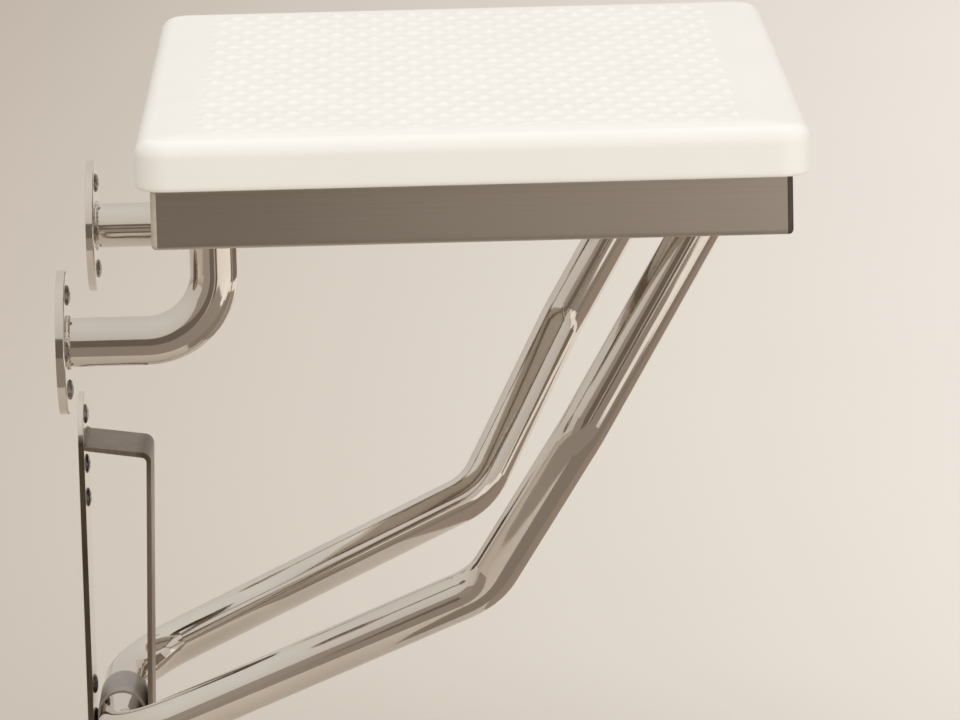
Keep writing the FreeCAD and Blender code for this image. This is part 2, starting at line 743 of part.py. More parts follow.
def bent_path(corners, radius):
    """Straight runs between the corners, joined by tangent arcs of one radius."""
    edges = []
    start = corners[0]
    for before, corner, after in zip(corners, corners[1:], corners[2:]):
        back = (before - corner).normalize()
        ahead = (after - corner).normalize()
        half_angle = back.getAngle(ahead) / 2
        setback = radius / math.tan(half_angle)
        first = corner + back * setback
        last = corner + ahead * setback
        centre_line = (back + ahead).normalize()
        middle = corner + centre_line * (radius / math.sin(half_angle) - radius)
        edges.append(Part.LineSegment(start, first).toShape())
        edges.append(Part.Arc(first, middle, last).toShape())
        start = last
    edges.append(Part.LineSegment(start, corners[-1]).toShape())
    return Part.Wire(edges)


def sweep_round(path, radius):
    start = path.Vertexes[0].Point
    direction = path.Edges[0].tangentAt(path.Edges[0].FirstParameter)
    section = Part.Wire([Part.makeCircle(radius, start, direction)])
    shape = path.makePipeShell([section], True, False, 1)
    return shape


def leg_corners():
    """Leg's centreline from its left top end to its right top end."""
    pivot = FreeCAD.Vector(size["leg_pivot_x"], size["leg_top_half"], size["leg_pivot_z"])
    kink = FreeCAD.Vector(size["kink_x"], size["leg_top_half"], size["kink_z"])
    knee = FreeCAD.Vector(size["knee_x"], size["knee_half"], size["knee_z"])
    corner = FreeCAD.Vector(size["crossbar_x"], size["crossbar_half"], -size["crossbar_drop"])
    end = pivot + (pivot - kink).normalize() * size["pivot_end"]
    half = [end, kink, knee, corner]
    return half + [FreeCAD.Vector(point.x, -point.y, point.z) for point in reversed(half)]


def make_leg():
    corners = leg_corners()
    path = bent_path(corners, size["leg_bend"])
    tube = sweep_round(path, size["tube_radius"]).cut(sweep_round(path, size["tube_bore"]))
    pivot_x, pivot_z = size["leg_pivot_x"], size["leg_pivot_z"]
    for sign in (1, -1):
        start = FreeCAD.Vector(pivot_x, sign * size["leg_top_half"] - size["tube_diameter"], pivot_z)
        hole = Part.makeCylinder(size["bushing_radius"], 2 * size["tube_diameter"], start, Y_AXIS)
        tube = tube.cut(hole)
    frame = doc.addObject("Part::Feature", "leg_frame")
    frame.Label = "leg_frame"
    frame.Shape = tube.Solids[0]
    return frame


def make_leg_fittings(cap):
    corners = leg_corners()
    upward = (corners[0] - corners[1]).normalize()
    turn = FreeCAD.Rotation(Z_AXIS, upward)
    ends = [FreeCAD.Placement(point, turn) for point in (corners[0], corners[-1])]
    copies("leg_end_caps", cap.Shape, ends)
    bushing = make_ring("leg_bushing_form", "-tube_radius", "2 * tube_radius", "bushing_radius",
                        "bolt_radius + running_fit")
    bolt = make_bolt("leg_bolt_form", "2 * tube_radius")
    doc.recompute()
    reach, height = size["leg_pivot_x"], size["leg_pivot_z"]
    inner_side = size["leg_top_half"] - size["tube_radius"]
    copies("leg_bushings", bushing.Shape, pivot_places(reach, size["leg_top_half"], height))
    copies("leg_bolts", bolt.Shape, pivot_places(reach, inner_side, height))
    return [bushing, bolt]


def build():
    forms = []
    for side, sign in SIDES:
        make_flange(side, sign)
        make_bracket_tube(side, sign)
        make_side_rail(side, sign)
    forms += make_bracket_fittings()
    cap = forms[0]
    forms.append(make_pivot_bushings())
    make_guide_plate()
    make_guide_strap()
    forms.append(make_guide_screws())
    make_guide_sleeve()
    make_seat_pad()
    make_seat_base()
    forms.append(make_rail_plugs())
    make_cross_rail("front_cross_rail", "front_cross_x")
    make_cross_rail("rear_cross_rail", "rear_cross_x")
    forms.append(make_pad_screws())
    forms += make_pivot_hardware()
    forms.append(make_leg_bosses())
    make_leg()
    forms += make_leg_fittings(cap)
    doc.recompute()
    return forms


def check_document():
    for item in doc.Objects:
        if "Invalid" in item.State or "Error" in item.State:
            raise ValueError("failed: " + item.Label)


def export(forms):
    hidden = {form.Name for form in forms}
    os.makedirs("parts", exist_ok=True)
    for item in doc.Objects:
        is_node = item.TypeId in ("PartDesign::Body", "Part::Feature")
        if not is_node or item.Name in hidden:
            continue
        shape = item.Shape
        if shape.isNull() or not shape.isValid() or not shape.Solids:
            raise ValueError("bad shape: " + item.Label)
        shape.exportStep("parts/" + item.Label + ".step")
        box = shape.BoundBox
        print("%-24s %2d solids %10.1f mm3  X %.1f..%.1f Y %.1f..%.1f Z %.1f..%.1f" % (
            item.Label, len(shape.Solids), shape.Volume,
            box.XMin, box.XMax, box.YMin, box.YMax, box.ZMin, box.ZMax))


forms = build()
check_document()
export(forms)
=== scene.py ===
import math

import bmesh
import bpy
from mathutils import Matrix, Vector


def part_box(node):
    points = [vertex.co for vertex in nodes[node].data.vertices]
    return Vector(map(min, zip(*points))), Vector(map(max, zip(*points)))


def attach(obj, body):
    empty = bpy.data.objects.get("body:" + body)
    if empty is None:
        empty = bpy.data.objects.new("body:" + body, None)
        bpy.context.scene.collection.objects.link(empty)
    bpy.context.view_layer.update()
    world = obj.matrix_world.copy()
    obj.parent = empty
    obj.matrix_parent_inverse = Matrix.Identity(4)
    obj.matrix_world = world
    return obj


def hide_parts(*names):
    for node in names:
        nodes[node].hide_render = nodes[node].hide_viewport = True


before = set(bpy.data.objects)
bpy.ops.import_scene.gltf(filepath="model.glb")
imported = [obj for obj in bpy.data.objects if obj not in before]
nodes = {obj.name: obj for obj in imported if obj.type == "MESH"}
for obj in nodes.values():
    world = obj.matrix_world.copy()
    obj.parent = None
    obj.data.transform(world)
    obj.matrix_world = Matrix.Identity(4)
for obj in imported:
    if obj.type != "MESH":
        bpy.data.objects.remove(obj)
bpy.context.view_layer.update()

# Named lengths are in metres and named angles in degrees. The camera's lens is in millimetres.
MM = 0.001


# Colours and materials

# Numbers of the mix node's sockets for two colours and their blend
MIX_FIRST = 6
MIX_SECOND = 7
MIX_RESULT = 2

POLISH_WAVE = 0.25 * MM
PLATE_WAVE = 0.2 * MM
METAL_GRAIN = 0.004 * MM
SCREW_GRAIN = 0.01 * MM
SKIN_GRAIN = 0.02 * MM
PLUG_GRAIN = 0.02 * MM
MOULD_GRAIN = 0.03 * MM
# Width of the painted highlights along the rail's edges
EDGE_HIGHLIGHT = 1.6 * MM
# Width of the painted dark reflection along the plate's long edges
DARK_EDGE_BAND = 0.5 * MM
# BEND_SHADE and BEND_DROP place the painted shade on the strap's upper bend
BEND_SHADE = 9 * MM
BEND_DROP = 24 * MM


def srgb(red, green, blue):
    """Linear colour of an 8-bit display colour."""
    def linear(value):
        share = value / 255
        return share / 12.92 if share <= 0.04045 else ((share + 0.055) / 1.055) ** 2.4
    return (linear(red), linear(green), linear(blue), 1.0)


class Finish:
    """A material with a Principled shader and short names for the nodes that feed it."""

    def __init__(self, name, colour, metallic=0.0, roughness=0.5):
        self.material = bpy.data.materials.new(name)
        self.material.use_nodes = True
        self.tree = self.material.node_tree
        self.shader = self.tree.nodes["Principled BSDF"]
        self.shader.inputs["Base Color"].default_value = colour
        self.shader.inputs["Metallic"].default_value = metallic
        self.shader.inputs["Roughness"].default_value = roughness
        self.place = self.tree.nodes.new("ShaderNodeTexCoord").outputs["Object"]
        self.bumps = None

    def link(self, source, target):
        self.tree.links.new(source, target)

    def noise(self, scale, detail=3.0, stretch=(1, 1, 1)):
        """Noise with features of about 1 / scale metres, finer along an axis with more stretch."""
        mapping = self.tree.nodes.new("ShaderNodeMapping")
        mapping.inputs["Scale"].default_value = stretch
        self.link(self.place, mapping.inputs["Vector"])
        texture = self.tree.nodes.new("ShaderNodeTexNoise")
        texture.inputs["Scale"].default_value = scale
        texture.inputs["Detail"].default_value = detail
        self.link(mapping.outputs["Vector"], texture.inputs["Vector"])
        return texture.outputs["Fac"]

    def cells(self, scale):
        """Distance to scattered points about 1 / scale metres apart."""
        texture = self.tree.nodes.new("ShaderNodeTexVoronoi")
        texture.inputs["Scale"].default_value = scale
        self.link(self.place, texture.inputs["Vector"])
        return texture.outputs["Distance"]

    def axis(self, letter):
        """The place along X, Y or Z in metres."""
        split = self.tree.nodes.new("ShaderNodeSeparateXYZ")
        self.link(self.place, split.inputs["Vector"])
        return split.outputs[letter]

    def ramp(self, source, low, high, start=0.0, end=1.0):
        """Map a value from the range low..high to start..end, clamped."""
        node = self.tree.nodes.new("ShaderNodeMapRange")
        node.inputs["From Min"].default_value = low
        node.inputs["From Max"].default_value = high
        node.inputs["To Min"].default_value = start
        node.inputs["To Max"].default_value = end
        self.link(source, node.inputs["Value"])
        return node.outputs["Result"]

    def mix(self, factor, first, second):
        """Blend two colours, each a plain colour or a socket."""
        node = self.tree.nodes.new("ShaderNodeMix")
        node.data_type = "RGBA"
        self.link(factor, node.inputs["Factor"])
        for value, number in ((first, MIX_FIRST), (second, MIX_SECOND)):
            if isinstance(value, tuple):
                node.inputs[number].default_value = value
            else:
                self.link(value, node.inputs[number])
        return node.outputs[MIX_RESULT]

    def colour(self, source):
        self.link(source, self.shader.inputs["Base Color"])

    def roughness(self, source):
        self.link(source, self.shader.inputs["Roughness"])

    def bump(self, source, height):
        """Add relief of about that height in metres."""
        node = self.tree.nodes.new("ShaderNodeBump")
        node.inputs["Distance"].default_value = height
        self.link(source, node.inputs["Height"])
        if self.bumps:
            self.link(self.bumps, node.inputs["Normal"])
        self.bumps = node.outputs["Normal"]
        self.link(self.bumps, self.shader.inputs["Normal"])


def polished_steel():
    """Mirror-bright metal: gently uneven, with smears and a fine grain."""
    finish = Finish("polished_steel", srgb(228, 221, 212), metallic=1.0, roughness=0.07)
    smears = finish.ramp(finish.noise(9, detail=5), 0.35, 0.7)
    finish.colour(finish.mix(smears, srgb(230, 223, 214), srgb(218, 210, 201)))
    finish.roughness(finish.ramp(finish.noise(38, detail=4), 0.3, 0.75, 0.05, 0.12))
    finish.bump(finish.noise(26, detail=1), POLISH_WAVE)
    finish.bump(finish.noise(900, detail=2), METAL_GRAIN)
    return finish.material


def cross_steel():
    """Satin tube of the cross rails, with its brush lines along Y."""
    dark, light = srgb(166, 156, 144), srgb(174, 165, 153)
    finish = Finish("cross_steel", dark, metallic=1.0, roughness=0.44)
    lines = finish.noise(1, detail=5, stretch=(700, 2, 700))
    smears = finish.noise(8, detail=3)
    tone = finish.mix(finish.ramp(lines, 0.25, 0.75), dark, light)
    finish.colour(finish.mix(finish.ramp(smears, 0.4, 0.8, 0, 0.3), tone, light))
    finish.roughness(finish.ramp(smears, 0.3, 0.75, 0.44, 0.5))
    finish.bump(lines, METAL_GRAIN)
    return finish.material


def rail_steel():
    """Satin rail tube, with a painted reflection that brightens it towards the front and painted
    highlights along its top and bottom edges.
    """
    finish = Finish("rail_steel", srgb(180, 171, 161), metallic=1.0, roughness=0.46)
    low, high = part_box("side_rail_right")
    lines = finish.noise(1, detail=5, stretch=(2, 700, 700))
    smears = finish.noise(8, detail=3)
    height = finish.axis("Z")
    grain = finish.ramp(lines, 0.25, 0.75)
    rear = finish.mix(grain, srgb(172, 163, 153), srgb(180, 171, 161))
    front = finish.mix(grain, srgb(200, 192, 183), srgb(208, 200, 191))
    # Painted reflection: the tone brightens from the rear end to the front end.
    tone = finish.mix(finish.ramp(finish.axis("X"), low.x, high.x), rear, front)
    # Painted highlights: lighter bands along the rail's bottom and top edges.
    low_edge_highlight = finish.ramp(height, low.z + EDGE_HIGHLIGHT, low.z)
    high_edge_highlight = finish.ramp(height, high.z - EDGE_HIGHLIGHT, high.z, 0, 0.6)
    highlit_edges = finish.mix(low_edge_highlight, tone, srgb(232, 226, 218))
    finish.colour(finish.mix(high_edge_highlight, highlit_edges, srgb(226, 219, 210)))
    finish.roughness(finish.ramp(smears, 0.3, 0.75, 0.42, 0.5))
    finish.bump(lines, METAL_GRAIN)
    return finish.material


def plate_steel():
    """Polished plate whose two long edges carry cut streaks and are painted dark brown, a painted
    dark reflection.
    """
    finish = Finish("plate_steel", srgb(228, 221, 212), metallic=1.0, roughness=0.1)
    low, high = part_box("guide_plate")
    across = finish.axis("Y")
    smears = finish.ramp(finish.noise(14, detail=5), 0.35, 0.7)
    cut_streaks = finish.ramp(finish.noise(1, detail=4, stretch=(1400, 1400, 60)), 0.3, 0.7)
    face = finish.mix(smears, srgb(230, 223, 214), srgb(216, 208, 199))
    # Painted dark reflection on the long edges, streaked like a cut.
    edge = finish.mix(cut_streaks, srgb(128, 115, 102), srgb(104, 92, 80))
    near = finish.mix(finish.ramp(across, low.y + DARK_EDGE_BAND, low.y), face, edge)
    finish.colour(finish.mix(finish.ramp(across, high.y - DARK_EDGE_BAND, high.y), near, edge))
    finish.roughness(finish.ramp(cut_streaks, 0, 1, 0.08, 0.14))
    finish.bump(finish.noise(26, detail=1), PLATE_WAVE)
    return finish.material


def strap_steel():
    """Satin strap: its upper bend is painted darker than its flats, a painted shade on the curve.
    """
    finish = Finish("strap_steel", srgb(146, 134, 121), metallic=1.0, roughness=0.42)
    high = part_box("guide_strap")[1]
    lines = finish.ramp(finish.noise(1, detail=5, stretch=(300, 900, 6)), 0.25, 0.75)
    flat = finish.mix(lines, srgb(142, 130, 117), srgb(158, 147, 135))
    # Painted shade on the upper bend: darker copies of the flat tones.
    shaded_bend = finish.mix(lines, srgb(114, 102, 89), srgb(126, 114, 101))
    bend_shade_mask = finish.ramp(finish.axis("X"), high.x - BEND_SHADE, high.x - BEND_SHADE / 2)
    top_shade_mask = finish.ramp(finish.axis("Z"), high.z - BEND_DROP, high.z - BEND_SHADE)
    finish.colour(finish.mix(top_shade_mask, flat, finish.mix(bend_shade_mask, flat, shaded_bend)))
    finish.roughness(finish.ramp(finish.noise(40, detail=4), 0.3, 0.7, 0.36, 0.48))
    finish.bump(lines, METAL_GRAIN)
    return finish.material


def screw_steel():
    """Plated screw with grime in patches."""
    finish = Finish("screw_steel", srgb(150, 144, 137), metallic=1.0, roughness=0.28)
    grime = finish.noise(420, detail=4)
    finish.colour(finish.mix(
        finish.ramp(grime, 0.4, 0.7), srgb(158, 151, 143), srgb(112, 104, 95)))
    finish.roughness(finish.ramp(grime, 0.3, 0.7, 0.2, 0.42))
    finish.bump(finish.noise(1500, detail=2), SCREW_GRAIN)
    return finish.material


def white_skin():
    """Moulded white skin of the pad: a fine leathery grain under a soft gloss."""
    finish = Finish("white_skin", srgb(246, 245, 241), roughness=0.4)
    mottle = finish.ramp(finish.noise(14, detail=3), 0.35, 0.7)
    finish.colour(finish.mix(mottle, srgb(247, 246, 242), srgb(245, 244, 239)))
    finish.roughness(finish.ramp(finish.noise(60, detail=3), 0.3, 0.7, 0.36, 0.46))
    finish.bump(finish.noise(1100, detail=2), SKIN_GRAIN)
    finish.shader.inputs["Coat Weight"].default_value = 0.2
    finish.shader.inputs["Coat Roughness"].default_value = 0.22
    return finish.material


def moulded(name, colour, shade, roughness=(0.45, 0.6)):
    """Moulded plastic with a fine spark-eroded grain."""
    finish = Finish(name, colour, roughness=roughness[0])
    patches = finish.ramp(finish.noise(60, detail=4), 0.35, 0.7)
    finish.colour(finish.mix(patches, colour, shade))
    finish.roughness(finish.ramp(finish.noise(240, detail=3), 0.3, 0.7, *roughness))
    finish.bump(finish.cells(1400), MOULD_GRAIN)
    return finish.material


def plug_plastic():
    """Rail plugs, lit and shaded copies of one plastic: painted light makes the rear ones pale and
    painted shade makes the front ones dark.
    """
    finish = Finish("plug_plastic", srgb(90, 80, 70), roughness=0.4)
    low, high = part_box("side_rail_right")
    middle = (low.x + high.x) / 2
    front = finish.ramp(finish.axis("X"), middle - MM, middle + MM)
    grain = finish.ramp(finish.noise(180, detail=4), 0.3, 0.7)
    # Painted light on the rear plugs and painted shade on the front plugs.
    lit_rear_tone = finish.mix(grain, srgb(196, 187, 174), srgb(182, 172, 158))
    shaded_front_tone = finish.mix(grain, srgb(62, 54, 47), srgb(74, 65, 57))
    finish.colour(finish.mix(front, lit_rear_tone, shaded_front_tone))
    finish.roughness(finish.ramp(grain, 0, 1, 0.34, 0.46))
    finish.bump(finish.cells(1300), PLUG_GRAIN)
    return finish.material


POLISHED = polished_steel()
RAIL_STEEL = rail_steel()
CROSS_STEEL = cross_steel()
STRAP_STEEL = strap_steel()
PLATE_STEEL = plate_steel()
SCREW_STEEL = screw_steel()
WHITE_SKIN = white_skin()
BOARD = moulded("board", srgb(206, 202, 194), srgb(198, 193, 184))
NYLON = moulded("nylon", srgb(214, 209, 199), srgb(200, 194, 182), roughness=(0.35, 0.5))
SLEEVE = moulded("sleeve", srgb(178, 168, 157), srgb(166, 156, 145), roughness=(0.16, 0.26))
CAP = moulded("cap", srgb(52, 48, 45), srgb(62, 58, 54))
PLUG = plug_plastic()

FINISHES = (
    (POLISHED, ("bracket_tube_left", "bracket_tube_right", "leg_frame")),
    (RAIL_STEEL, ("side_rail_left", "side_rail_right")),
    (CROSS_STEEL, ("front_cross_rail", "rear_cross_rail")),
    (SCREW_STEEL, ("pivot_bolts", "pivot_washers", "pivot_nuts", "leg_bosses", "leg_bolts")),
    (BOARD, ("seat_base",)),
    (NYLON, ("pivot_bushings", "leg_bushings")),
    (SLEEVE, ("guide_sleeve",)),
    (CAP, ("bracket_end_caps", "leg_end_caps")),
    (PLUG, ("rail_end_plugs",)),
)
for material, names in FINISHES:
    for name in names:
        nodes[name].data.materials.clear()
        nodes[name].data.materials.append(material)


# Mesh helpers

WELD_DISTANCE = 0.01 * MM
FLAT_ANGLE = 0.5
CREASE_ANGLE = 40
PAD_CREASE = 50
SMALL_CREASE = 60
BEVEL_SEGMENTS = 3
BEVEL_PROFILE = 0.5


def smooth(share):
    """Smooth step from 0 to 1."""
    share = min(max(share, 0.0), 1.0)
    return share * share * (3 - 2 * share)


def dress(name, mesh, material, body, crease):
    """Make a smooth-shaded piece of a mesh and let it ride on a body."""
    mesh.shade_smooth()
    mesh.set_sharp_from_angle(angle=math.radians(crease))
    mesh.materials.clear()
    mesh.materials.append(material)
    piece = bpy.data.objects.new(name, mesh)
    bpy.context.scene.collection.objects.link(piece)
    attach(piece, body)
    return piece


def add_piece(name, points, faces, material, body, crease):
    """Make a piece of points and faces."""
    mesh = bpy.data.meshes.new(name)
    mesh.from_pydata([tuple(point) for point in points], [], faces)
    mesh.validate()
    return dress(name, mesh, material, body, crease)


def open_node(node):
    """Editable copy of a CAD node's mesh, with its doubled corners joined."""
    work = bmesh.new()
    work.from_mesh(nodes[node].data)
    bmesh.ops.remove_doubles(work, verts=work.verts, dist=WELD_DISTANCE)
    return work


def loose_boxes(node):
    """Lowest and highest corner of each loose part of a CAD node."""
    work = open_node(node)
    waiting = set(work.verts)
    boxes = []
    while waiting:
        front = [waiting.pop()]
        low, high = front[0].co.copy(), front[0].co.copy()
        while front:
            vertex = front.pop()
            low = Vector(map(min, low, vertex.co))
            high = Vector(map(max, high, vertex.co))
            for edge in vertex.link_edges:
                other = edge.other_vert(vertex)
                if other in waiting:
                    waiting.remove(other)
                    front.append(other)
        boxes.append((low, high))
    work.free()
    return sorted(boxes, key=lambda box: [round(value, 5) for value in box[0]])


def add_rounded(name, node, material, width):
    """Stand for a CAD plate on the wall by a copy whose sharp edges are rounded."""
    work = open_node(node)
    bmesh.ops.dissolve_limit(
        work, angle_limit=math.radians(FLAT_ANGLE), verts=work.verts, edges=work.edges)
    creases = [edge for edge in work.edges
               if edge.is_manifold and edge.calc_face_angle() > math.radians(CREASE_ANGLE)]
    bmesh.ops.bevel(work, geom=creases, offset=width, segments=BEVEL_SEGMENTS,
                    profile=BEVEL_PROFILE, affect="EDGES", clamp_overlap=True)
    mesh = bpy.data.meshes.new(name)
    work.to_mesh(mesh)
    work.free()
    piece = dress(name, mesh, material, "wall_mount", CREASE_ANGLE)
    normals = piece.modifiers.new("flat faces", "WEIGHTED_NORMAL")
    normals.keep_sharp = True
    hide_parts(node)


# Seat pad

PAD_CORNER = 17 * MM
PAD_TOP_EDGE = 9 * MM
PAD_BOTTOM_EDGE = 2.5 * MM
FIELD_REAR = 30 * MM
FIELD_FRONT = 33 * MM
FIELD_SIDE = 22 * MM
FIELD_CORNER = 2 * MM
FIELD_FADE = 4 * MM
LOZENGE_PITCH_X = 14.3 * MM
LOZENGE_PITCH_Y = 18.2 * MM
LOZENGE_STEPS_X = 12
LOZENGE_STEPS_Y = 11
LOZENGE_HALF_X = 5.4 * MM
LOZENGE_HALF_Y = 8.4 * MM
LOZENGE_HEIGHT = 1.4 * MM
BORDER_SLOPE = 1.2 * MM
BORDER_STEPS = 12
TOP_EDGE_STEPS = 12
BOTTOM_EDGE_STEPS = 4
SIDE_SHARES = (0.1, 0.5, 0.9)
RECESS_MARGIN = 14 * MM
RECESS_DEPTH = 12 * MM
RECESS_CORNER = 6 * MM
RECESS_SHARES = (0, 0.1, 0.9, 1)
RIM_LAP = 3.5 * MM


def round_side(half_along, half_across, radius, count):
    """Points of one side of a rounded rectangle, between the middles of its corner arcs."""
    straight = 2 * (half_along - radius)
    arc = math.pi / 4 * radius
    points = []
    for index in range(count):
        way = index / count * (straight + 2 * arc)
        if way < arc:
            angle = math.radians(225) + way / radius
            points.append((radius - half_along + radius * math.cos(angle),
                           radius - half_across + radius * math.sin(angle)))
        elif way < arc + straight:
            points.append((radius - half_along + way - arc, -half_across))
        else:
            angle = math.radians(270) + (way - arc - straight) / radius
            points.append((half_along - radius + radius * math.cos(angle),
                           radius - half_across + radius * math.sin(angle)))
    return points


def round_ring(centre, half_x, half_y, radius, count_x, count_y, height):
    """Rounded rectangle with a fixed number of points on each side."""
    ring = []
    for turn in range(4):
        along, across = (half_x, half_y) if turn % 2 == 0 else (half_y, half_x)
        count = count_x if turn % 2 == 0 else count_y
        cosine, sine = ((1, 0), (0, 1), (-1, 0), (0, -1))[turn]
        for x, y in round_side(along, across, radius, count):
            ring.append(Vector((centre.x + x * cosine - y * sine,
                                centre.y + x * sine + y * cosine, height)))
    return ring


def lozenge_height(x, y, low_x, low_y, high_x, high_y):
    """Relief of the field at a point: staggered lozenges that fade at the field's edge."""
    column = (x - low_x) / LOZENGE_PITCH_X
    row = (y - low_y) / LOZENGE_PITCH_Y
    best = 0.0
    for near_row in (math.floor(row), math.floor(row) + 1):
        offset = 0.5 * (near_row % 2)
        near_column = round(column - offset) + offset
        away = math.hypot((column - near_column) * LOZENGE_PITCH_X / LOZENGE_HALF_X,
                          (row - near_row) * LOZENGE_PITCH_Y / LOZENGE_HALF_Y)
        best = max(best, smooth(1 - away))
    edge = min(x - low_x, high_x - x, y - low_y, high_y - y)
    return LOZENGE_HEIGHT * best * smooth(edge / FIELD_FADE)


def field_grid(low, high, steps_x, steps_y, top):
    """Points and quads of the patterned field, and its rim's points in turn."""
    points, faces = [], []
    for row in range(steps_y + 1):
        y = low.y + (high.y - low.y) * row / steps_y
        for column in range(steps_x + 1):
            x = low.x + (high.x - low.x) * column / steps_x
            points.append(Vector((x, y, top + lozenge_height(x, y, *low, *high))))
    width = steps_x + 1
    for row in range(steps_y):
        for column in range(steps_x):
            first = row * width + column
            faces.append((first, first + 1, first + width + 1, first + width))
    rim = list(range(steps_x))
    rim += [row * width + steps_x for row in range(steps_y)]
    rim += [steps_y * width + steps_x - column for column in range(steps_x)]
    rim += [(steps_y - row) * width for row in range(steps_y)]
    return points, faces, rim


def join_rings(upper, lower, faces):
    """Quads between two rings of point numbers, the lower one further out or down."""
    count = len(upper)
    for index in range(count):
        following = (index + 1) % count
        faces.append((upper[following], upper[index], lower[index], lower[following]))


def make_pad():
    """White pad: field of lozenges, sloping border, rounded edges and a recess for the board."""
    low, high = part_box("seat_pad")
    centre = (low + high) / 2
    half_x, half_y = (high.x - low.x) / 2, (high.y - low.y) / 2
    field_low = Vector((low.x + FIELD_REAR, low.y + FIELD_SIDE))
    field_high = Vector((high.x - FIELD_FRONT, high.y - FIELD_SIDE))
    steps_x = round((field_high.x - field_low.x) / LOZENGE_PITCH_X * LOZENGE_STEPS_X)
    steps_y = round((field_high.y - field_low.y) / LOZENGE_PITCH_Y * LOZENGE_STEPS_Y)
    field_top = high.z - LOZENGE_HEIGHT
    border_top = field_top - BORDER_SLOPE
    side_top = border_top - PAD_TOP_EDGE
    side_low = low.z + PAD_BOTTOM_EDGE
    points, faces, rim = field_grid(field_low, field_high, steps_x, steps_y, field_top)

    def outline(inset, height):
        corner = max(PAD_CORNER - inset, FIELD_CORNER)
        return round_ring(centre, half_x - inset, half_y - inset, corner, steps_x, steps_y, height)

    rings = []
    border_end = outline(PAD_TOP_EDGE, border_top)
    for step in range(1, BORDER_STEPS):
        share = step / BORDER_STEPS
        ring = [points[index].lerp(point, share) for index, point in zip(rim, border_end)]
        for spot in ring:
            spot.z = field_top - BORDER_SLOPE * share * share
        rings.append(ring)
    for step in range(TOP_EDGE_STEPS + 1):
        angle = math.pi / 2 * step / TOP_EDGE_STEPS
        inset = PAD_TOP_EDGE * (1 - math.sin(angle))
        rings.append(outline(inset, border_top - PAD_TOP_EDGE * (1 - math.cos(angle))))
    for share in SIDE_SHARES:
        rings.append(outline(0, side_top + (side_low - side_top) * share))
    for step in range(BOTTOM_EDGE_STEPS + 1):
        angle = math.pi / 2 * step / BOTTOM_EDGE_STEPS
        inset = PAD_BOTTOM_EDGE * (1 - math.cos(angle))
        rings.append(outline(inset, side_low - PAD_BOTTOM_EDGE * math.sin(angle)))
    recess_x = half_x - RECESS_MARGIN
    recess_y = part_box("side_rail_left")[0].y - RIM_LAP
    for share in RECESS_SHARES:
        rings.append(round_ring(centre, recess_x, recess_y, RECESS_CORNER, steps_x, steps_y,
                                low.z + RECESS_DEPTH * share))

    upper = rim
    for ring in rings:
        lower = list(range(len(points), len(points) + len(ring)))
        points.extend(ring)
        join_rings(upper, lower, faces)
        upper = lower
    faces.append(tuple(upper))
    pad = add_piece("pad", points, faces, WHITE_SKIN, "seat", PAD_CREASE)
    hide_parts("seat_pad")


make_pad()


# Plates with rounded edges

PLATE_ROUND = 0.5 * MM
STRAP_ROUND = 0.6 * MM
FLANGE_ROUND = 0.9 * MM

add_rounded("guide_plate_rounded", "guide_plate", PLATE_STEEL, PLATE_ROUND)
add_rounded("guide_strap_rounded", "guide_strap", STRAP_STEEL, STRAP_ROUND)
for side in ("left", "right"):
    add_rounded("flange_rounded_" + side, "mounting_flange_" + side, POLISHED,
                FLANGE_ROUND)


# Screws

HEAD_HEIGHT = 1.9 * MM
HEAD_RINGS = 30
HEAD_STEPS = 48
SHANK_RADIUS = 2.6 * MM
RECESS_ARM = 2.7 * MM
RECESS_HALF = 0.62 * MM
RECESS_WALL = 0.3 * MM
RECESS_END = 0.9 * MM
RECESS_FLOOR = 1.15 * MM
SCREW_TURNS = (12, 64, 33, 81, 48, 5, 71, 26)


def recess_depth(u, v):
    """Depth of the cross recess at a point of the head."""
    u, v = abs(u), abs(v)
    depth = 0.0
    for across, along in ((u, v), (v, u)):
        wall = smooth((RECESS_HALF + RECESS_WALL / 2 - across) / RECESS_WALL)
        end = smooth((RECESS_ARM - along) / RECESS_END)
        depth = max(depth, wall * end)
    return RECESS_FLOOR * depth


def head_fall(away, angle, radius):
    """How far the head's surface lies below its top: the dome and the recess."""
    dome = HEAD_HEIGHT * (1 - math.sqrt(max(0.0, 1 - (away / radius) ** 2)))
    return dome + recess_depth(away * math.cos(angle), away * math.sin(angle))


def face_outwards(mesh):
    """Turn all faces of a closed mesh outwards."""
    work = bmesh.new()
    work.from_mesh(mesh)
    bmesh.ops.recalc_face_normals(work, faces=work.faces)
    work.to_mesh(mesh)
    work.free()


